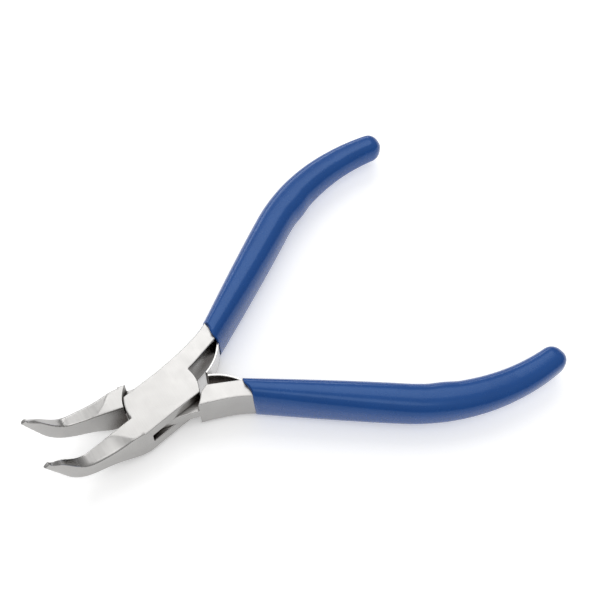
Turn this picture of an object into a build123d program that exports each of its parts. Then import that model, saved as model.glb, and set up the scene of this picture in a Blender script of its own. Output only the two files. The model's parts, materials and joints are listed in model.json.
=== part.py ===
from build123d import *
import os
from math import asin, cos, pi, radians, sin, sqrt

# Bent chain-nose pliers: two forged halves crossed in a box joint, sprung open by two leaf
# springs, with dipped sleeves on the handles.
#
# Frame: the origin is where the pivot axis meets the flat underside of the joint, +Z runs up
# the pivot axis towards the side that the jaw tips bend to, and +X points to the handles.
# The slotted half has its jaw on the -Y side and its handle on the +Y side, and the lap half
# is the other way round. Each half is drawn in its own plan, in which the closed tool's centre
# line is the x axis, and that plan is turned about the pivot by half of the opening.

# Driving dimensions, in mm and degrees
half_opening = 10.5          # each half's turn from the closed tool to the relaxed open one
joint_thickness = 8.7        # flat underside of the joint to its flat top
joint_half_width = 5.0       # pivot axis to the long sides of the joint
cheek_radius = 8.1           # rounded ends of the cheeks, about the pivot
shoulder_clearance = 0.2     # radial gap between a cheek's end and the lap half's shoulder
lap_thickness = 2.7          # the lap half's web, in the slot
slot_clearance = 0.06        # above and below the web
closed_gap = 0.08            # between the two mating faces when the handles are closed

pin_radius = 2.2
pin_running_clearance = 0.04
pin_flare = 0.5              # how far each peened end widens, and how deep

nose_rise = 7.5              # slope of the straight run of the jaw, degrees
nose_run = 10.6              # length of that run, along its middle
bend_radius = 7.0
bend_turn = 53.0             # further turn up to the tip
tip_run = 8.0                # straight run past the bend
nose_width = 5.05            # mating face to the outside, at the joint
tip_width = 0.95
tip_height = 1.7
nose_overheight = 1.45       # the ground nose would stand this far past the flats at the joint
grinding = 2.0               # left on the joint for the grinding of its flats
nose_flat_share = 0.3        # and comes down to them at this share of its length
nose_slant = 0.24            # outer corners stand back this share of the width,
nose_slant_limit = 0.3       # and no more than this share of the half height
nose_sharpness = 0.04        # corner radius at the joint, as a share of the smaller size
nose_softening = 0.44        # and how much that share grows up to the tip
flat_run = 9.0               # how far the flats reach along the jaw

shank_half_width = 2.05
shank_entry = 1.0            # centre line to the inner edge of the shank, at the cheek's end
shank_waist = (13.2, 2.0)    # the shank's inner edge passes here
shank_entry_rise = 0.12      # and comes in to the joint at this slope
shank_swell = (10.0, 0.65)   # its outer edge stands this far out from the joint's side here
shank_bevel = 1.6            # corner taken off the lap half's shoulder, in the crotch
handle_start = (19.0, 5.75)  # where the straight run of the handle begins
handle_angle = 24.5          # its slope away from the closed tool's centre line
handle_run = 32.0            # straight run
handle_bend_radius = 50.0
handle_bend_turn = 41.0
tang_middle_half_width = 2.9
tang_end_half_width = 2.2
tang_end_half_height = 2.05
tang_corner = 0.6
flat_end_share = 0.85       # the handle thins down to this share of its length
tang_end_gap = 1.2           # the steel stops this far short of the sleeve's rounded end

grip_wall = 0.8              # sleeve on the wide sides of the handle
grip_crown = 1.1             # sleeve above and below it
grip_end_cap = 3.1           # rounded closed end past the tang
end_cap_shares = (0, 0.45, 0.75, 0.92)  # its sections, as shares of the cap
grip_corner_share = 0.68     # corner radius as a share of the smaller half size
dip_line = 17.8              # where the sleeve starts, along the closed tool's centre line
dip_tilt = 9.0               # slant of the sleeve's front edge in plan, degrees
dip_lean = 2.0               # and from top to bottom

leaf_thickness = 0.55
leaf_width = 5.6
leaf_tail = 8.0              # flat part on the handle
leaf_front = 1.5             # the tail's front end, this far ahead of handle_start
leaf_kink = 30.0             # the free part turns off from the tail by this much
leaf_kink_radius = 1.2
leaf_tip_reach = 10.9        # pivot axis to the leaf's tip
leaf_fit = 0.05              # gap around the leaf's tail in its seat
leaf_tip_gap = 0.12          # each leaf's tip to the centre plane, when relaxed
rivet_radius = 0.8
rivet_depth = 2.4            # into the steel, under the leaf
rivet_place = 4.5            # back from the front of the tail
seat_runout = 1.5            # the leaf's seat is milled this far past the tail's front end,
seat_depth = 2.0             # and reaches this far in from its floor

front_arc_turn = 163.0       # points that the cheeks' arcs pass, about the pivot, degrees
rear_arc_turn = -15.0

nose_root = 1.5              # the nose starts this far inside the joint block
nose_steps = 9               # sections along a jaw
handle_steps = 9             # and along a handle

# Worked out from them
mid_height = joint_thickness / 2
shoulder_radius = cheek_radius + shoulder_clearance
slot_half_height = lap_thickness / 2 + slot_clearance
jaw_root = shoulder_radius
bend_arc = bend_radius * radians(bend_turn)
nose_length = nose_run + bend_arc + tip_run
handle_arc = handle_bend_radius * radians(handle_bend_turn)
handle_length = handle_run + handle_arc


def half_plane(side, height=0.0):
    """The plan of one half at a height: side is 1 for the slotted half and -1 for the lap half."""
    turn = radians(side * half_opening)
    return Plane(origin=(0, 0, height), x_dir=(cos(turn), sin(turn), 0), z_dir=(0, 0, 1))


def place(side, x, y, z=0.0):
    """A point given in the slotted half's way round, put into the plan of either half."""
    return half_plane(side).from_local_coords(Vector(x, side * y, z))


def direction(side, x, y, z=0.0):
    return place(side, x, y, z) - place(side, 0, 0, 0)


def along_nose(distance):
    """Middle of the jaw in side view, and its slope, at a distance from the joint."""
    slope = radians(nose_rise)
    run = min(distance, nose_run)
    x = -jaw_root - run * cos(slope)
    z = mid_height + run * sin(slope)
    if distance > nose_run:
        arc = min(distance - nose_run, bend_arc) / bend_radius
        x -= bend_radius * (sin(slope + arc) - sin(slope))
        z += bend_radius * (cos(slope) - cos(slope + arc))
        slope += arc
    if distance > nose_run + bend_arc:
        rest = distance - nose_run - bend_arc
        x -= rest * cos(slope)
        z += rest * sin(slope)
    return x, z, slope


def along_handle(distance, offset=0.0):
    """A point in the plan of a handle, and its slope: offset is to the outside of the tool."""
    slope = radians(handle_angle)
    run = min(distance, handle_run)
    x = handle_start[0] + run * cos(slope)
    y = handle_start[1] + run * sin(slope)
    if distance > handle_run:
        turned = slope - (distance - handle_run) / handle_bend_radius
        x += handle_bend_radius * (sin(slope) - sin(turned))
        y += handle_bend_radius * (cos(turned) - cos(slope))
        slope = turned
    return x - offset * sin(slope), y + offset * cos(slope), slope


def tang_size(share):
    """Half width and half height of the steel handle, at a share of its length."""
    share = max(share, 0.0)
    straight = shank_half_width + (tang_end_half_width - shank_half_width) * share
    width = straight + (tang_middle_half_width - shank_half_width) * sin(pi * share)
    thinning = min(share / flat_end_share, 1.0)
    height = mid_height + (tang_end_half_height - mid_height) * thinning
    return width, height


def grip_size(share):
    width, height = tang_size(share)
    return width + grip_wall, height + grip_crown


def handle_section(side, distance):
    """Plane across a handle: its x is to the outside, its y is up or down."""
    x, y, slope = along_handle(distance)
    return Plane(
        origin=place(side, x, y, mid_height),
        x_dir=direction(side, -sin(slope), cos(slope)),
        z_dir=direction(side, cos(slope), sin(slope)),
    )


def nose_section(side, distance):
    """Plane across a jaw: its x is from the mating face to the outside, its y is up or down."""
    x, z, slope = along_nose(distance)
    return Plane(
        origin=place(side, x, 0, z),
        x_dir=direction(side, 0, -1),
        z_dir=direction(side, -cos(slope), 0, sin(slope)),
    )


def body_outline(side):
    """Plan of a half from its jaw's root to the start of its handle, for a sketch."""
    corner_x = sqrt(cheek_radius**2 - joint_half_width**2)
    entry_x = sqrt(cheek_radius**2 - shank_entry**2)
    front_turn = radians(front_arc_turn)
    rear_turn = radians(rear_arc_turn)
    front = (cheek_radius * cos(front_turn), cheek_radius * sin(front_turn))
    rear = (cheek_radius * cos(rear_turn), cheek_radius * sin(rear_turn))
    outer = along_handle(0, shank_half_width)[:2]
    inner = along_handle(0, -shank_half_width)[:2]
    swell_x, swell = shank_swell
    heading = (cos(radians(handle_angle)), side * sin(radians(handle_angle)))

    def at(x, y):
        return (x, side * y)

    with BuildLine() as outline:
        ThreePointArc(at(-cheek_radius, 0), at(*front), at(-corner_x, joint_half_width))
        Line(at(-corner_x, joint_half_width), at(0, joint_half_width))
        Spline(
            [at(0, joint_half_width), at(swell_x, joint_half_width + swell), at(*outer)],
            tangents=[(1, 0), heading],
        )
        Line(at(*outer), at(*inner))
        Spline(
            [at(*inner), at(*shank_waist), at(entry_x, shank_entry)],
            tangents=[(-heading[0], -heading[1]), (-1, -side * shank_entry_rise)],
        )
        ThreePointArc(at(entry_x, shank_entry), at(*rear), at(corner_x, -joint_half_width))
        Line(at(corner_x, -joint_half_width), at(0, -joint_half_width))
        Line(at(0, -joint_half_width), at(-jaw_root, -nose_width - closed_gap))
        Line(at(-jaw_root, -nose_width - closed_gap), at(-jaw_root, -closed_gap))
        Line(at(-jaw_root, -closed_gap), at(-cheek_radius, 0))
    return outline.line


def nose_outline(share):
    """Section of a jaw: its corners and their radii, at a share of its length."""
    width = nose_width + (tip_width - nose_width) * share
    overheight = nose_overheight * max(0.0, 1 - share / nose_flat_share)
    half_height = (joint_thickness + (tip_height - joint_thickness) * share) / 2 + overheight
    slant = min(nose_slant * width, nose_slant_limit * half_height)
    rounding = (nose_sharpness + nose_softening * share) * min(width, half_height)
    corners = [
        (closed_gap / 2, -half_height),
        (width, -half_height + slant),
        (width, half_height - slant),
        (closed_gap / 2, half_height),
    ]
    return corners, [0, rounding, rounding, 0]


def build_half(side):
    """The forged half in full, before the joint's cuts: jaw, joint block, shank and handle."""
    with BuildPart() as half:
        for step in range(nose_steps + 1):
            distance = (nose_length + nose_root) * step / nose_steps - nose_root
            corners, radii = nose_outline(max(0, distance / nose_length))
            with BuildSketch(nose_section(side, distance)):
                with BuildLine():
                    FilletPolyline(*corners, radius=radii, close=True)
                make_face()
        loft()
        with BuildSketch(half_plane(side, -grinding)):
            add(body_outline(side))
            make_face()
        extrude(amount=joint_thickness + 2 * grinding)
        # The joint's two flats are ground across the jaw's root as well
        for height, reach in ((joint_thickness, 1), (0, -1)):
            with BuildSketch(half_plane(side, height)):
                with Locations((-jaw_root - flat_run, 0)):
                    Rectangle(2 * handle_length, 4 * nose_width, align=(Align.MIN, Align.CENTER))
            extrude(amount=reach * 2 * grinding, mode=Mode.SUBTRACT)
    with BuildPart() as tang:
        for step in range(handle_steps + 1):
            share = step / handle_steps
            width, height = tang_size(share)
            with BuildSketch(handle_section(side, share * (handle_length - tang_end_gap))):
                RectangleRounded(2 * width, 2 * height, tang_corner)
        loft()
    return half.part + tang.part


def leaf_seat(side):
    """The flat milled into the inner side of the shank, where the leaf's tail lies."""
    floor = leaf_thickness - shank_half_width
    with BuildPart() as seat:
        with BuildSketch(half_plane(side, mid_height)):
            with BuildLine():
                Polyline(
                    *[
                        (x, side * y)
                        for x, y, _ in (
                            along_handle(-leaf_front - seat_runout, floor),
                            along_handle(leaf_tail - leaf_front + leaf_fit, floor),
                            along_handle(leaf_tail - leaf_front + leaf_fit, floor - seat_depth),
                            along_handle(-leaf_front - seat_runout, floor - seat_depth),
                        )
                    ],
                    close=True,
                )
            make_face()
        extrude(amount=leaf_width / 2 + leaf_fit, both=True)
    return seat.part


os.makedirs("parts", exist_ok=True)

# Pivot pin: peened over at both ends and ground flush with the cheeks
with BuildPart() as pivot_pin:
    with BuildSketch(Plane.XZ):
        with BuildLine():
            Polyline(
                (0, 0),
                (pin_radius + pin_flare, 0),
                (pin_radius, pin_flare),
                (pin_radius, joint_thickness - pin_flare),
                (pin_radius + pin_flare, joint_thickness),
                (0, joint_thickness),
                close=True,
            )
        make_face()
    revolve(axis=Axis.Z)
pivot_pin.part.label = "pivot_pin"
export_step(pivot_pin.part, "parts/pivot_pin.step")

finished = {}
for side, name in ((1, "slotted_half"), (-1, "lap_half")):
    # Leaf spring: a flat tail on the handle, then a curved free part up to the centre plane
    heading = (-cos(radians(handle_angle)), -side * sin(radians(handle_angle)))
    rear_x, rear_y, _ = along_handle(leaf_tail - leaf_front, leaf_thickness / 2 - shank_half_width)
    front_x, front_y, _ = along_handle(-leaf_front, leaf_thickness / 2 - shank_half_width)
    lift = leaf_tip_gap + leaf_thickness / 2
    turn = radians(half_opening)
    tip_x = leaf_tip_reach * cos(turn) + lift * sin(turn)
    tip_y = lift * cos(turn) - leaf_tip_reach * sin(turn)
    with BuildPart() as leaf:
        with BuildSketch(half_plane(side, mid_height)):
            with BuildLine():
                tail = Line((rear_x, side * rear_y), (front_x, side * front_y))
                kink = JernArc(tail @ 1, heading, leaf_kink_radius, side * leaf_kink)
                TangentArc(kink @ 1, (tip_x, side * tip_y), tangent=kink % 1)
            trace(line_width=leaf_thickness)
        extrude(amount=leaf_width / 2, both=True)

    # Rivet: through the leaf's tail into the steel, its head ground flush with the leaf
    rivet_x, rivet_y, slope = along_handle(rivet_place - leaf_front, -shank_half_width)
    rivet_plane = Plane(
        origin=place(side, rivet_x, rivet_y, mid_height),
        z_dir=direction(side, -sin(slope), cos(slope)),
    )
    with BuildPart() as rivet:
        with BuildSketch(rivet_plane):
            Circle(rivet_radius)
        extrude(amount=leaf_thickness + rivet_depth)

    # The half itself, with its seat for the leaf
    with BuildPart() as half:
        add(build_half(side))
        add(leaf_seat(side), mode=Mode.SUBTRACT)
        add(rivet.part, mode=Mode.SUBTRACT)
        if side == 1:
            with BuildSketch(Plane.XY.offset(mid_height)):
                Circle(shoulder_radius)
            extrude(amount=slot_half_height, both=True, mode=Mode.SUBTRACT)
            add(pivot_pin.part, mode=Mode.SUBTRACT)
        else:
            for reach in (1, -1):
                with BuildSketch(Plane.XY.offset(mid_height + reach * lap_thickness / 2)):
                    Circle(shoulder_radius)
                extrude(amount=reach * joint_thickness, mode=Mode.SUBTRACT)
            with BuildSketch(Plane.XY):
                Circle(pin_radius + pin_running_clearance)
            extrude(amount=joint_thickness, mode=Mode.SUBTRACT)
            # The shoulder's inner corner is taken off, clear of the web
            corner_turn = asin(shank_entry / shoulder_radius)
            bevel_turn = corner_turn + shank_bevel / shoulder_radius
            corner_x = shoulder_radius * cos(corner_turn)
            bevel_x = shoulder_radius * cos(bevel_turn)
            bevel_y = shoulder_radius * sin(bevel_turn)
            with BuildSketch(half_plane(side)):
                with BuildLine():
                    Polyline(
                        (bevel_x, side * bevel_y),
                        (corner_x + shank_bevel, side * shank_entry),
                        (corner_x, side * (shank_entry - shank_bevel)),
                        close=True,
                    )
                make_face()
            extrude(amount=joint_thickness, mode=Mode.SUBTRACT)

    # Sleeve: dipped over the handle and the leaf's tail, closed and rounded at its end
    with BuildPart() as grip:
        for step in range(-1, handle_steps + 1):
            share = step / handle_steps
            width, height = grip_size(share)
            corner = grip_corner_share * min(width, height)
            with BuildSketch(handle_section(side, share * handle_length)):
                RectangleRounded(2 * width, 2 * height, corner)
        loft()
        width, height = grip_size(1)
        for bulge in end_cap_shares:
            shrink = sqrt(1 - bulge**2)
            corner = grip_corner_share * min(width, height) * shrink
            with BuildSketch(handle_section(side, handle_length + bulge * grip_end_cap)):
                RectangleRounded(2 * width * shrink, 2 * height * shrink, corner)
        loft()
        dip_normal = direction(side, cos(radians(dip_tilt)), -sin(radians(dip_tilt)), 0)
        dip_plane = Plane(
            origin=place(side, dip_line, handle_start[1], mid_height),
            z_dir=dip_normal + Vector(0, 0, sin(radians(dip_lean))),
        )
        split(bisect_by=dip_plane, keep=Keep.TOP)
        for inner in (half, leaf, rivet):
            add(inner.part, mode=Mode.SUBTRACT)

    with BuildPart() as pierced_leaf:
        add(leaf.part)
        add(rivet.part, mode=Mode.SUBTRACT)

    for piece, label in (
        (half, name),
        (pierced_leaf, name + "_spring"),
        (rivet, name + "_rivet"),
        (grip, name + "_grip"),
    ):
        piece.part.label = label
        export_step(piece.part, f"parts/{label}.step")
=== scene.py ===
import json
from math import atan2, copysign, cos, pi, radians, sin, sqrt

import bpy
import bmesh
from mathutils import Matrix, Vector


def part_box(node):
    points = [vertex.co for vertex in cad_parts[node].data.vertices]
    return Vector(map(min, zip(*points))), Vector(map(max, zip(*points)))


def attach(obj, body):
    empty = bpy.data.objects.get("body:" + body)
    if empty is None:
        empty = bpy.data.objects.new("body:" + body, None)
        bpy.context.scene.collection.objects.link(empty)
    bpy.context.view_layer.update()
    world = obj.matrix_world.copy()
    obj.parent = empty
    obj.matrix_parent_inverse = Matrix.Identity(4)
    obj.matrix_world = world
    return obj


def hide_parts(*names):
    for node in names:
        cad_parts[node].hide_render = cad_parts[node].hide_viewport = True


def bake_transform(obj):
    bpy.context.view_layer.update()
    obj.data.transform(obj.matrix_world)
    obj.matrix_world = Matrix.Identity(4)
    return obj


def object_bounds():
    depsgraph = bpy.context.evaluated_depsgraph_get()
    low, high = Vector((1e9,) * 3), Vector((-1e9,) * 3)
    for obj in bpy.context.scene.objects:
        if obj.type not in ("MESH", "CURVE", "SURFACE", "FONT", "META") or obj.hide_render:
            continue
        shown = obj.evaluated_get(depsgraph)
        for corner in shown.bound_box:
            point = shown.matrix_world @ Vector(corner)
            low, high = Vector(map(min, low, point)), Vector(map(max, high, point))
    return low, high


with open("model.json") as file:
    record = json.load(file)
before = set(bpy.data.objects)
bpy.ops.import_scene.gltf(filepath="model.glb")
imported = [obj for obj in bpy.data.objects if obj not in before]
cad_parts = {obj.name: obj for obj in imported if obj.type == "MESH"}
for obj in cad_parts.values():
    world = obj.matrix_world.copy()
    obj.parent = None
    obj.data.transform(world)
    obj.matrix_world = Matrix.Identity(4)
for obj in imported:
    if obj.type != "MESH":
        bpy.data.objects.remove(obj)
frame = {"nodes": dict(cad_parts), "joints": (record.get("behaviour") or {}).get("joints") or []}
cad_low, cad_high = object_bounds()

# ---------------------------------------------------------------------------------------
# The two forged halves. Carbon steel drop forgings: the slotted half is pierced for the
# web of the lap half, and the pair is closed hot around it. The joint's flats are ground
# across, and the noses, sides and shanks are polished soft on a mop.
# ---------------------------------------------------------------------------------------
MM = 0.001
joint_low, joint_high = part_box("pivot_pin")
MID_HEIGHT = (joint_low.z + joint_high.z) / 2
HALF_OPENING = radians(frame["joints"][0]["range_deg"][1] / 2)
FORGED_VOXEL = 0.12 * MM
CORNERS_MEET = 0.001 * MM
NOSE_START = -9.5 * MM
TIP_START = -22.0 * MM
NOSE_BLEND = 4.0 * MM
EDGE_ROUNDS, NOSE_ROUNDS, TIP_ROUNDS = 5, 14, 24
MOST_TRIANGLES = 185000

# The finish. A face counts as ground flat by how upright its normal is, and the grain of the
# grinding is long one way. All grain is in repeats to the metre.
GROUND_FROM, GROUND_FULL = 0.80, 0.985
FINE_GRAIN = (4200, 160, 160)
COARSE_GRAIN = (1100, 70, 70)
FINE_SHARE, COARSE_SHARE = 0.6, 0.4
CLOUD_GRAIN = (160, 160, 160)
POLISH_GRAIN = (420, 420, 420)
GRAIN_TONE, CLOUD_TONE = 0.16, 0.08
GREEN_TINT, BLUE_TINT = 0.985, 0.965
POLISH_ROUGHNESS, GROUND_ROUGHNESS, GRAIN_ROUGHNESS = 0.10, 0.10, 0.25
POLISH_RELIEF = 0.15
STEEL_RELIEF = 0.012 * MM
STEEL_RELIEF_STRENGTH = 0.25
# Painted shade: within this reach, ambient occlusion darkens the steel's base colour towards a
# dark brown in corners and recesses.
RECESS_REACH = 6.0 * MM
RECESS_SAMPLES = 12
SHADED_BELOW, UNSHADED_ABOVE = 0.26, 0.54
RECESS_SHADE = (0.040, 0.028, 0.020, 1)
HALF_TONES = {"side_tone": 0.42, "flat_tone": 0.50, "smooth": 0.24}
BLACK, WHITE = (0, 0, 0, 1), (1, 1, 1, 1)


class Socket:
    """One output of a node, so that shader maths reads as plain Python."""

    def __init__(self, owner, output):
        self.owner = owner
        self.output = output

    def maths(self, operation, *pair):
        return self.owner.node(
            "ShaderNodeMath", {"operation": operation}, dict(enumerate(pair))
        )

    def __add__(self, other):
        return self.maths("ADD", self, other)

    def __radd__(self, other):
        return self.maths("ADD", other, self)

    def __sub__(self, other):
        return self.maths("SUBTRACT", self, other)

    def __rsub__(self, other):
        return self.maths("SUBTRACT", other, self)

    def __mul__(self, other):
        return self.maths("MULTIPLY", self, other)

    def __rmul__(self, other):
        return self.maths("MULTIPLY", other, self)

    def __abs__(self):
        return self.maths("ABSOLUTE", self)


class Tree:
    """A node tree whose nodes all come from one method."""

    def __init__(self, tree):
        self.tree = tree
        self.tree.nodes.clear()

    def node(self, kind, settings=None, sockets=None, output=0):
        made = self.tree.nodes.new(kind)
        for name, value in (settings or {}).items():
            if name == "stops":
                for stop, (position, colour) in zip(made.color_ramp.elements, value):
                    stop.position = position
                    stop.color = colour
            else:
                setattr(made, name, value)
        for name, value in (sockets or {}).items():
            if isinstance(value, Socket):
                self.tree.links.new(value.output, made.inputs[name])
            else:
                made.inputs[name].default_value = value
        return Socket(self, made.outputs[output]) if made.outputs else None

    def ramp(self, value, *stops):
        return self.node("ShaderNodeValToRGB", {"stops": stops}, {"Fac": value})


class Surface(Tree):
    """A new material."""

    def __init__(self, name):
        self.material = bpy.data.materials.new(name)
        self.material.use_nodes = True
        super().__init__(self.material.node_tree)

    def noise(self, grain, turn=0.0, detail=2.0, roughness=0.5):
        here = self.node("ShaderNodeTexCoord", output="Object")
        place = self.node(
            "ShaderNodeMapping",
            {"vector_type": "POINT"},
            {"Vector": here, "Rotation": (0, 0, turn), "Scale": grain},
        )
        return self.node(
            "ShaderNodeTexNoise",
            {"noise_dimensions": "3D"},
            {"Vector": place, "Scale": 1.0, "Detail": detail, "Roughness": roughness},
        )

    def mix(self, share, first, second):
        return self.node(
            "ShaderNodeMix",
            {"data_type": "RGBA"},
            {"Factor": share, 6: first, 7: second},
            output=2,
        )

    def bump(self, height, strength, distance):
        return self.node(
            "ShaderNodeBump",
            {},
            {"Height": height, "Strength": strength, "Distance": distance},
        )

    def finish(self, sockets):
        shader = self.node("ShaderNodeBsdfPrincipled", {}, sockets)
        self.node("ShaderNodeOutputMaterial", {}, {"Surface": shader})
        return self.material


def steel(name, grain_turn, side_tone, flat_tone, smooth):
    """Bare steel: satin sides, brighter ground flats with their grain, painted brown shade in
    the corners.
    """
    surface = Surface(name)
    facing = surface.node("ShaderNodeNewGeometry", output="Normal")
    upright = surface.node("ShaderNodeSeparateXYZ", {}, {"Vector": facing}, output="Z")
    flat = surface.node(
        "ShaderNodeMapRange",
        {"interpolation_type": "SMOOTHSTEP"},
        {"Value": abs(upright), "From Min": GROUND_FROM, "From Max": GROUND_FULL},
    )
    fine = surface.noise(FINE_GRAIN, grain_turn, detail=3)
    coarse = surface.noise(COARSE_GRAIN, grain_turn)
    scratch = fine * FINE_SHARE + coarse * COARSE_SHARE
    clouds = surface.noise(CLOUD_GRAIN, detail=4)
    polish = surface.noise(POLISH_GRAIN, detail=3)
    # Painted shade: ambient occlusion darkens the base colour in corners, recesses and under the
    # leaves, where shade falls.
    openness = surface.node(
        "ShaderNodeAmbientOcclusion",
        {"samples": RECESS_SAMPLES, "only_local": False},
        {"Distance": RECESS_REACH},
        output="AO",
    )
    unshaded = surface.ramp(openness, (SHADED_BELOW, BLACK), (UNSHADED_ABOVE, WHITE))
    tone = side_tone + flat * (flat_tone - side_tone)
    bright = tone + (scratch - 0.5) * flat * GRAIN_TONE + (clouds - 0.5) * CLOUD_TONE
    metal = surface.node(
        "ShaderNodeCombineColor",
        {"mode": "RGB"},
        {"Red": bright, "Green": bright * GREEN_TINT, "Blue": bright * BLUE_TINT},
    )
    roughness = (
        smooth
        + (polish - 0.5) * POLISH_ROUGHNESS
        + flat * GROUND_ROUGHNESS
        + (scratch - 0.5) * flat * GRAIN_ROUGHNESS
    )
    relief = scratch * flat + polish * POLISH_RELIEF
    # The base colour carries the painted brown shade of the corners.
    return surface.finish({
        "Base Color": surface.mix(unshaded, RECESS_SHADE, metal),
        "Metallic": 1.0,
        "Roughness": roughness,
        "Normal": surface.bump(relief, STEEL_RELIEF_STRENGTH, STEEL_RELIEF),
    })


def placed(name, data):
    """A new object in the scene, at the origin."""
    obj = bpy.data.objects.new(name, data)
    bpy.context.scene.collection.objects.link(obj)
    return obj


def plain_mesh(obj):
    """The object's shape with its modifiers, as a new mesh."""
    bpy.context.view_layer.update()
    return bpy.data.meshes.new_from_object(
        obj.evaluated_get(bpy.context.evaluated_depsgraph_get())
    )


def apply_modifiers(obj):
    made = plain_mesh(obj)
    obj.modifiers.clear()
    obj.data = made


def shade_smooth(obj):
    obj.data.polygons.foreach_set("use_smooth", [True] * len(obj.data.polygons))


def merged_copy(node, name):
    """The node's own triangles, joined up, as a new object."""
    mesh = frame["nodes"][node].data.copy()
    mesh.materials.clear()
    bm = bmesh.new()
    bm.from_mesh(mesh)
    bmesh.ops.remove_doubles(bm, verts=bm.verts, dist=CORNERS_MEET)
    bm.to_mesh(mesh)
    bm.free()
    return placed(name, mesh)


def soften(obj, weights, rounds):
    """Rounds a fine mesh's edges where the weight of its vertices says."""
    group = obj.vertex_groups.new(name="soft")
    for index, weight in enumerate(weights):
        group.add([index], weight, "REPLACE")
    smooth = obj.modifiers.new("soften", "SMOOTH")
    smooth.factor = 0.5
    smooth.iterations = rounds
    smooth.vertex_group = group.name
    apply_modifiers(obj)
    obj.vertex_groups.clear()


def forged(node, name):
    """A half's ground and polished steel: its edges broken, its nose polished rounder."""
    obj = merged_copy(node, name)
    remesh = obj.modifiers.new("even skin", "REMESH")
    remesh.mode = "VOXEL"
    remesh.voxel_size = FORGED_VOXEL
    apply_modifiers(obj)
    soften(obj, [1.0] * len(obj.data.vertices), EDGE_ROUNDS)
    for start, rounds in ((NOSE_START, NOSE_ROUNDS), (TIP_START, TIP_ROUNDS)):
        weights = [
            min(max((start - vertex.co.x) / NOSE_BLEND, 0.0), 1.0)
            for vertex in obj.data.vertices
        ]
        soften(obj, weights, rounds)
    triangles = 2 * len(obj.data.polygons)
    thin = obj.modifiers.new("thin out", "DECIMATE")
    thin.ratio = min(1.0, MOST_TRIANGLES / triangles)
    apply_modifiers(obj)
    shade_smooth(obj)
    return obj


steel_finish = {
    "slotted_half": steel("ground_steel_slotted", -HALF_OPENING, **HALF_TONES),
    "lap_half": steel("ground_steel_lap", HALF_OPENING, **HALF_TONES),
}
for node, body in (("slotted_half", "slotted_side"), ("lap_half", "lap_side")):
    half = forged(node, node + "_steel")
    half.data.materials.append(steel_finish[node])
    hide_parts(node)
    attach(half, body)

# ---------------------------------------------------------------------------------------
# The pivot pin. Silver steel, peened over into both cheeks and ground away with them until
# its ends merge with the flats.
# ---------------------------------------------------------------------------------------
PIN_SMEAR = 0.35 * MM
PIN_END_DEPTH = 0.15 * MM
PIN_FLARE_DEPTH = 0.60 * MM
PIN_WAIST_SHARE = 0.8
PIN_PROUD = 0.004 * MM
PIN_SIDES = 96


def add_object(name, bm):
    """The finished bmesh as a new object."""
    mesh = bpy.data.meshes.new(name)
    bm.to_mesh(mesh)
    bm.free()
    return placed(name, mesh)


def join_rings(bm, rings):
    """Walls of four-sided faces from each closed ring of vertices to the next."""
    for first, second in zip(rings, rings[1:]):
        for here in range(len(first)):
            after = (here + 1) % len(first)
            bm.faces.new((first[here], first[after], second[after], second[here]))


def turned_solid(name, profile, sides):
    """A solid of revolution about Z, from the (radius, height) corners of half its section."""
    bm = bmesh.new()
    turns = [2 * pi * side / sides for side in range(sides)]
    rings = [
        [bm.verts.new((radius * cos(turn), radius * sin(turn), height)) for turn in turns]
        for radius, height in profile
    ]
    join_rings(bm, rings)
    bm.faces.new(rings[0][::-1])
    bm.faces.new(rings[-1])
    return add_object(name, bm)


end_radius = joint_high.x + PIN_SMEAR
waist = PIN_WAIST_SHARE * joint_high.x
low, high = joint_low.z - PIN_PROUD, joint_high.z + PIN_PROUD
pin = turned_solid("pivot_pin_peened", (
    (end_radius, low),
    (end_radius, low + PIN_END_DEPTH),
    (waist, low + PIN_FLARE_DEPTH),
    (waist, high - PIN_FLARE_DEPTH),
    (end_radius, high - PIN_END_DEPTH),
    (end_radius, high),
), PIN_SIDES)
pin.data.materials.append(steel_finish["slotted_half"])
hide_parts("pivot_pin")
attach(pin, "slotted_side")

# ---------------------------------------------------------------------------------------
# The two leaf springs. Bright rolled spring steel strip, bent once where it leaves the
# handle, riveted down by its tail, and curved so that the two free tips bear on each other.
# ---------------------------------------------------------------------------------------
LEAF_THICKNESS = 0.55 * MM
LEAF_EDGE = 0.14 * MM
LEAF_EDGE_STEPS = 4
SHANK_HALF_WIDTH = 2.05 * MM
HANDLE_START = Vector((19.0 * MM, 5.75 * MM))
HANDLE_ANGLE = radians(24.5)
LEAF_TAIL = 8.0 * MM
LEAF_FRONT = 1.5 * MM
LEAF_KINK = radians(30)
LEAF_KINK_RADIUS = 1.2 * MM
LEAF_TIP_REACH = 10.9 * MM
LEAF_TIP_GAP = 0.12 * MM
TAIL_STEPS, KINK_STEPS, FREE_STEPS = 8, 6, 28


def turned(point, side):
    """A point of the slotted half's closed plan, put where either half holds it when open."""
    x, y = point[0], side * point[1]
    c, s = cos(side * HALF_OPENING), sin(side * HALF_OPENING)
    return Vector((x * c - y * s, x * s + y * c, MID_HEIGHT))


def arc(start, heading, radius, turn, steps):
    """Points along a circular bend, after its start."""
    points = []
    for step in range(1, steps + 1):
        angle = heading + turn * step / steps
        points.append(start + radius * Vector((
            sin(angle) - sin(heading),
            cos(heading) - cos(angle),
        )))
    return points


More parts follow.
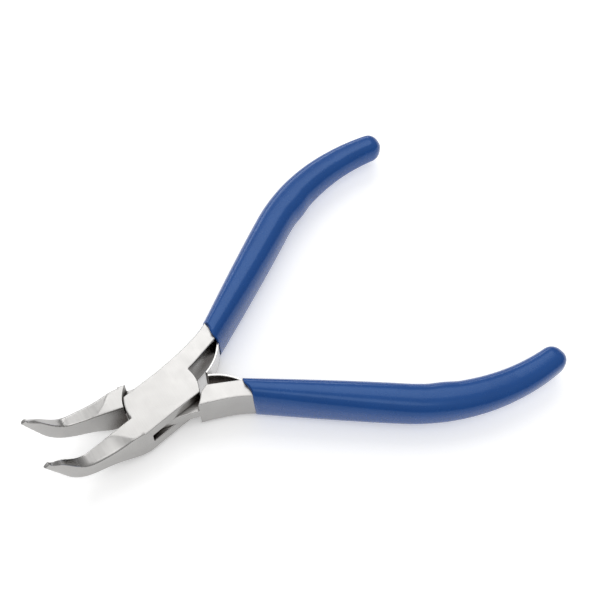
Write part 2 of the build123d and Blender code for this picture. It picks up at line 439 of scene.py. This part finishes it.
def leaf_path(side):
    """Middle of a leaf's thickness, from the end of its tail to its free tip."""
    along = Vector((cos(HANDLE_ANGLE), sin(HANDLE_ANGLE)))
    out = Vector((-along.y, along.x))
    tail = HANDLE_START + out * (LEAF_THICKNESS / 2 - SHANK_HALF_WIDTH)
    rear = tail + along * (LEAF_TAIL - LEAF_FRONT)
    front = tail - along * LEAF_FRONT
    lift = LEAF_TIP_GAP + LEAF_THICKNESS / 2
    tip = Vector((
        LEAF_TIP_REACH * cos(HALF_OPENING) + lift * sin(HALF_OPENING),
        lift * cos(HALF_OPENING) - LEAF_TIP_REACH * sin(HALF_OPENING),
    ))
    points = [rear + (front - rear) * step / TAIL_STEPS for step in range(TAIL_STEPS + 1)]
    heading = HANDLE_ANGLE + pi
    points += arc(front, heading, LEAF_KINK_RADIUS, LEAF_KINK, KINK_STEPS)
    heading += LEAF_KINK
    chord = tip - points[-1]
    turn = 2 * (atan2(chord.y, chord.x) - heading)
    while turn < -pi:
        turn += 4 * pi
    radius = chord.length / (2 * sin(turn / 2))
    points += arc(points[-1], heading, radius, turn, FREE_STEPS)
    return [turned(point, side) for point in points]


def strip_tree(material):
    """Geometry Nodes for rolled strip: a rounded flat section carried along a path."""
    group = bpy.data.node_groups.new("rolled_strip", "GeometryNodeTree")
    face = group.interface
    face.new_socket("Geometry", in_out="INPUT", socket_type="NodeSocketGeometry")
    for name in ("Width", "Thickness", "Edge radius"):
        face.new_socket(name, in_out="INPUT", socket_type="NodeSocketFloat")
    face.new_socket("Geometry", in_out="OUTPUT", socket_type="NodeSocketGeometry")
    tree = Tree(group)
    given = {
        name: tree.node("NodeGroupInput", output=name)
        for name in ("Geometry", "Width", "Thickness", "Edge radius")
    }
    section = tree.node(
        "GeometryNodeCurvePrimitiveQuadrilateral",
        {},
        {"Width": given["Thickness"], "Height": given["Width"]},
    )
    rounded = tree.node(
        "GeometryNodeFilletCurve",
        {"mode": "POLY"},
        {"Curve": section, "Radius": given["Edge radius"], "Count": LEAF_EDGE_STEPS},
    )
    solid = tree.node(
        "GeometryNodeCurveToMesh",
        {},
        {"Curve": given["Geometry"], "Profile Curve": rounded, "Fill Caps": True},
    )
    real = tree.node("GeometryNodeRealizeInstances", {}, {"Geometry": solid})
    finished = tree.node(
        "GeometryNodeSetMaterial", {}, {"Geometry": real, "Material": material}
    )
    tree.node("NodeGroupOutput", {}, {"Geometry": finished})
    return group


spring_steel = steel(
    "rolled_spring_steel", 0.0, side_tone=0.66, flat_tone=0.70, smooth=0.22
)
strip = strip_tree(spring_steel)
identifiers = {
    item.name: item.identifier
    for item in strip.interface.items_tree
    if item.in_out == "INPUT"
}
leaf_low, leaf_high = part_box("slotted_half_spring")
for side, half, ends in (
    (1, "slotted_half", ("slotted_side", "lap_side")),
    (-1, "lap_half", ("lap_side", "slotted_side")),
):
    route = leaf_path(side)
    curve = bpy.data.curves.new(half + "_leaf_route", "CURVE")
    curve.dimensions = "3D"
    spline = curve.splines.new("POLY")
    spline.points.add(len(route) - 1)
    for point, place in zip(spline.points, route):
        point.co = (*place, 1)
    carrier = placed(half + "_leaf", curve)
    shape = carrier.modifiers.new("strip", "NODES")
    shape.node_group = strip
    for name, size in (
        ("Width", leaf_high.z - leaf_low.z),
        ("Thickness", LEAF_THICKNESS),
        ("Edge radius", LEAF_EDGE),
    ):
        shape[identifiers[name]] = size
    made = plain_mesh(carrier)
    bpy.data.objects.remove(carrier)
    leaf = placed(half + "_leaf", made)
    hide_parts(half + "_spring")
    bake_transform(leaf)

# ---------------------------------------------------------------------------------------
# The spring rivets. Soft steel, through each leaf's tail into its handle, headed flush and
# hidden by the sleeves.
# ---------------------------------------------------------------------------------------
for node in ("slotted_half_rivet", "lap_half_rivet"):
    frame["nodes"][node].data.materials.clear()
    frame["nodes"][node].data.materials.append(spring_steel)

# ---------------------------------------------------------------------------------------
# The handle sleeves. Plastisol: each handle is hung by its jaws and dipped, so the vinyl
# ends at a level line near the joint, swells a little at its lip, and drains to a round end.
# ---------------------------------------------------------------------------------------
HANDLE_RUN = 32.0 * MM
HANDLE_BEND_RADIUS = 50.0 * MM
HANDLE_BEND = radians(41)
HANDLE_LENGTH = HANDLE_RUN + HANDLE_BEND_RADIUS * HANDLE_BEND
TANG_WIDTHS = (SHANK_HALF_WIDTH, 2.9 * MM, 2.2 * MM)
TANG_HEIGHTS = (MID_HEIGHT, 2.05 * MM)
TANG_FLAT_SHARE = 0.85
SLEEVE_WALL = 0.8 * MM
SLEEVE_CROWN = 1.1 * MM
SLEEVE_CAP = 3.1 * MM
SLEEVE_FULLNESS = 0.22 * MM
SLEEVE_POWER = 2.7
BORE_POWER = 8
BORE_DEPTHS = (5.0 * MM, 1.5 * MM)
DIP_LINE = Vector((17.8 * MM, 5.75 * MM))
DIP_TILT = radians(9)
DIP_LEAN = 0.035
LIP_RADIUS = 0.35 * MM
LIP_GAP = 0.04 * MM
LIP_TURNS = (0.15, 0.5, 0.85)
FOLD_PLACE = 41 * MM
FOLD_REACH = 4 * MM
FOLD_SIZE = 0.22 * MM
RINGS = 260
AROUND = 80
PATCH_GRAIN = (120, 120, 120)
SKIN_GRAIN = (900, 900, 900)
SAG_GRAIN = (260, 260, 260)
DEEP_BLUE, THIN_BLUE = (0.005, 0.053, 0.235, 1), (0.008, 0.068, 0.285, 1)
BLUE_SHEEN = (0.42, 0.66, 1.0, 1)
VINYL_ROUGHNESS, SKIN_ROUGHNESS = 0.26, 0.12
SKIN_RELIEF = 0.30
VINYL_RELIEF = 0.06 * MM
VINYL_RELIEF_STRENGTH = 0.5


def along_handle(distance):
    """Middle of a handle in its closed plan, and the way it runs."""
    slope = HANDLE_ANGLE
    run = min(distance, HANDLE_RUN)
    point = HANDLE_START + run * Vector((cos(slope), sin(slope)))
    if distance > HANDLE_RUN:
        bent = slope - (distance - HANDLE_RUN) / HANDLE_BEND_RADIUS
        point += HANDLE_BEND_RADIUS * Vector((sin(slope) - sin(bent), cos(bent) - cos(slope)))
        slope = bent
    return point, slope


def tang_size(share):
    """Half width and half height of the bare handle, this share of the way along it."""
    start, middle, end = TANG_WIDTHS
    width = start + (end - start) * share + (middle - start) * sin(pi * share)
    thinning = min(share / TANG_FLAT_SHARE, 1.0)
    return width, TANG_HEIGHTS[0] + (TANG_HEIGHTS[1] - TANG_HEIGHTS[0]) * thinning


def section(width, height, power):
    """A closed outline between an ellipse (power 2) and a rectangle, as points across and up."""
    points = []
    for step in range(AROUND):
        c, s = cos(2 * pi * step / AROUND), sin(2 * pi * step / AROUND)
        points.append((
            copysign(width * abs(c) ** (2 / power), c),
            copysign(height * abs(s) ** (2 / power), s),
        ))
    return points


def sleeve_size(reach):
    """Half width and half height of the sleeve, this far along the handle."""
    share = min(reach / HANDLE_LENGTH, 1.0)
    width, height = tang_size(share)
    fullness = SLEEVE_FULLNESS * sin(pi * share)
    bulge = max(0.0, (reach - HANDLE_LENGTH) / SLEEVE_CAP)
    shrink = sqrt(max(0.0, 1 - bulge**2))
    return (width + SLEEVE_WALL + fullness) * shrink, (height + SLEEVE_CROWN + fullness) * shrink


def sleeve_point(side, distance, across, up):
    """A point off the middle of either handle, where the open tool has it."""
    point, slope = along_handle(distance)
    place = turned(point + across * Vector((-sin(slope), cos(slope))), side)
    place.z += up
    return place


def dip_start(across, up, back):
    """How far along the straight handle a skin starts, to end at the level dip line."""
    level = Vector((cos(DIP_TILT), -sin(DIP_TILT)))
    heading = Vector((cos(HANDLE_ANGLE), sin(HANDLE_ANGLE)))
    offset = across * Vector((-heading.y, heading.x))
    gap = (DIP_LINE - HANDLE_START - offset).dot(level)
    return (gap - up * DIP_LEAN) / heading.dot(level) + back


def fold(distance, across):
    """How far the vinyl gathers out of the inner side, where the handle bends."""
    if across > 0:
        return 0.0
    return -FOLD_SIZE * max(0.0, 1 - ((distance - FOLD_PLACE) / FOLD_REACH) ** 2) ** 2


def sleeve(side, name):
    """The vinyl skin: up out of its bore, round the lip, and along the handle to its end."""
    total = HANDLE_LENGTH + SLEEVE_CAP
    bore = section(SHANK_HALF_WIDTH + LIP_GAP, MID_HEIGHT + LIP_GAP, BORE_POWER)
    rings = [
        [sleeve_point(side, dip_start(across, up, depth), across, up) for across, up in bore]
        for depth in (*BORE_DEPTHS, LIP_RADIUS)
    ]
    mouth = section(*sleeve_size(0), SLEEVE_POWER)
    for turn in LIP_TURNS:
        share = 0.5 - 0.5 * cos(pi * turn)
        back = LIP_RADIUS * (1 - sin(pi * turn))
        rings.append([
            sleeve_point(
                side,
                dip_start(across, up, back),
                across + (outer_across - across) * share,
                up + (outer_up - up) * share,
            )
            for (across, up), (outer_across, outer_up) in zip(bore, mouth)
        ])
    for step in range(RINGS):
        ring = []
        for across, up in section(*sleeve_size(total * step / RINGS), SLEEVE_POWER):
            start = dip_start(across, up, LIP_RADIUS)
            distance = start + (total - start) * step / RINGS
            ring.append(sleeve_point(side, distance, across + fold(distance, across), up))
        rings.append(ring)
    bm = bmesh.new()
    made = [[bm.verts.new(point) for point in ring] for ring in rings]
    join_rings(bm, made)
    for ring in (made[0], made[-1]):
        centre = bm.verts.new(sum((vertex.co for vertex in ring), Vector()) / AROUND)
        for here in range(AROUND):
            bm.faces.new((ring[here], ring[(here + 1) % AROUND], centre))
    bmesh.ops.recalc_face_normals(bm, faces=bm.faces)
    obj = add_object(name, bm)
    shade_smooth(obj)
    return obj


def vinyl(name):
    """Glossy dipped vinyl: even blue, slow thick and thin patches, a fine skin on the gloss."""
    surface = Surface(name)
    patches = surface.noise(PATCH_GRAIN)
    skin = surface.noise(SKIN_GRAIN, detail=3, roughness=0.6)
    sag = surface.noise(SAG_GRAIN, detail=1)
    relief = skin * SKIN_RELIEF + sag
    return surface.finish({
        "Base Color": surface.mix(patches, DEEP_BLUE, THIN_BLUE),
        "Roughness": VINYL_ROUGHNESS + (skin - 0.5) * SKIN_ROUGHNESS,
        "IOR": 1.42,
        "Specular IOR Level": 0.75,
        "Specular Tint": BLUE_SHEEN,
        "Coat Weight": 0.08,
        "Coat Roughness": 0.10,
        "Normal": surface.bump(relief, VINYL_RELIEF_STRENGTH, VINYL_RELIEF),
    })


blue_vinyl = vinyl("blue_dipped_vinyl")
for side, half, body in ((1, "slotted_half", "slotted_side"), (-1, "lap_half", "lap_side")):
    skin = sleeve(side, half + "_sleeve")
    skin.data.materials.append(blue_vinyl)
    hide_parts(half + "_grip")
    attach(skin, body)

# ---------------------------------------------------------------------------------------
# The studio: a pale paper table that gives back a little light, a white tent that is darker
# low down, three soft boxes, and the camera above the jaws' side.
# ---------------------------------------------------------------------------------------
TABLE_HALF = 0.9
TABLE_GAP = 0.05 * MM
PAPER_GRAIN = (40, 40, 40)
PAPER_DULL, PAPER_CLEAN = (0.93, 0.93, 0.93, 1), (0.95, 0.95, 0.95, 1)
TENT_LOW, TENT_HIGH = (0.25, 0.25, 0.25, 1), (0.72, 0.72, 0.72, 1)
TENT_HIGH_FROM = 0.85
TOOL_MIDDLE = Vector((30 * MM, 0, 0))
CAMERA_TARGET = Vector((38.9 * MM, 6.8 * MM, MID_HEIGHT))
CAMERA_DISTANCE = 226.7 * MM
AZIMUTH, ELEVATION = radians(-32.0), radians(57.8)
SENSOR_WIDTH, FOCAL_LENGTH = 36, 59.1
NEAREST, FURTHEST = 0.01, 10

bm = bmesh.new()
bm.faces.new([
    bm.verts.new((x * TABLE_HALF, y * TABLE_HALF, cad_low.z - TABLE_GAP))
    for x, y in ((-1, -1), (1, -1), (1, 1), (-1, 1))
])
table = add_object("table", bm)
paper = Surface("white_paper")
table.data.materials.append(paper.finish({
    "Base Color": paper.mix(paper.noise(PAPER_GRAIN), PAPER_DULL, PAPER_CLEAN),
    "Roughness": 0.9,
    "Specular IOR Level": 0.1,
    "Emission Color": WHITE,
    "Emission Strength": 0.35,
}))

world = bpy.data.worlds.new("tent")
bpy.context.scene.world = world
world.use_nodes = True
tent = Tree(world.node_tree)
direction = tent.node("ShaderNodeTexCoord", output="Generated")
height = tent.node("ShaderNodeSeparateXYZ", {}, {"Vector": direction}, output="Z")
glow = tent.ramp(height, (0.0, TENT_LOW), (TENT_HIGH_FROM, TENT_HIGH))
sky = tent.node("ShaderNodeBackground", {}, {"Color": glow, "Strength": 1.0})
tent.node("ShaderNodeOutputWorld", {}, {"Surface": sky})


def aimed(obj, place, sight):
    """The lamp or camera, moved to its place and turned to look along the sight."""
    obj.location = place
    obj.rotation_euler = sight.to_track_quat("-Z", "Y").to_euler()


def softbox(name, place, size, power):
    """A rectangular lamp that shines at the middle of the tool."""
    data = bpy.data.lights.new(name, "AREA")
    data.shape = "RECTANGLE"
    data.size, data.size_y = size
    data.energy = power
    aimed(placed(name, data), place, TOOL_MIDDLE - Vector(place))


softbox("top_box", place=(0.27, 0.42, 0.75), size=(0.65, 0.40), power=1.45)
softbox("front_box", place=(-0.04, -0.20, 0.80), size=(0.35, 0.35), power=0.60)
softbox("back_strip", place=(0.10, 0.62, 0.22), size=(0.90, 0.14), power=1.2)

sight = Vector((
    -sin(AZIMUTH) * cos(ELEVATION),
    cos(AZIMUTH) * cos(ELEVATION),
    -sin(ELEVATION),
))
lens = bpy.data.cameras.new("camera")
lens.sensor_width = SENSOR_WIDTH
lens.lens = FOCAL_LENGTH
lens.clip_start, lens.clip_end = NEAREST, FURTHEST
camera = placed("camera", lens)
aimed(camera, CAMERA_TARGET - sight * CAMERA_DISTANCE, sight)
bpy.context.scene.camera = camera
bpy.context.scene.view_settings.view_transform = "Standard"
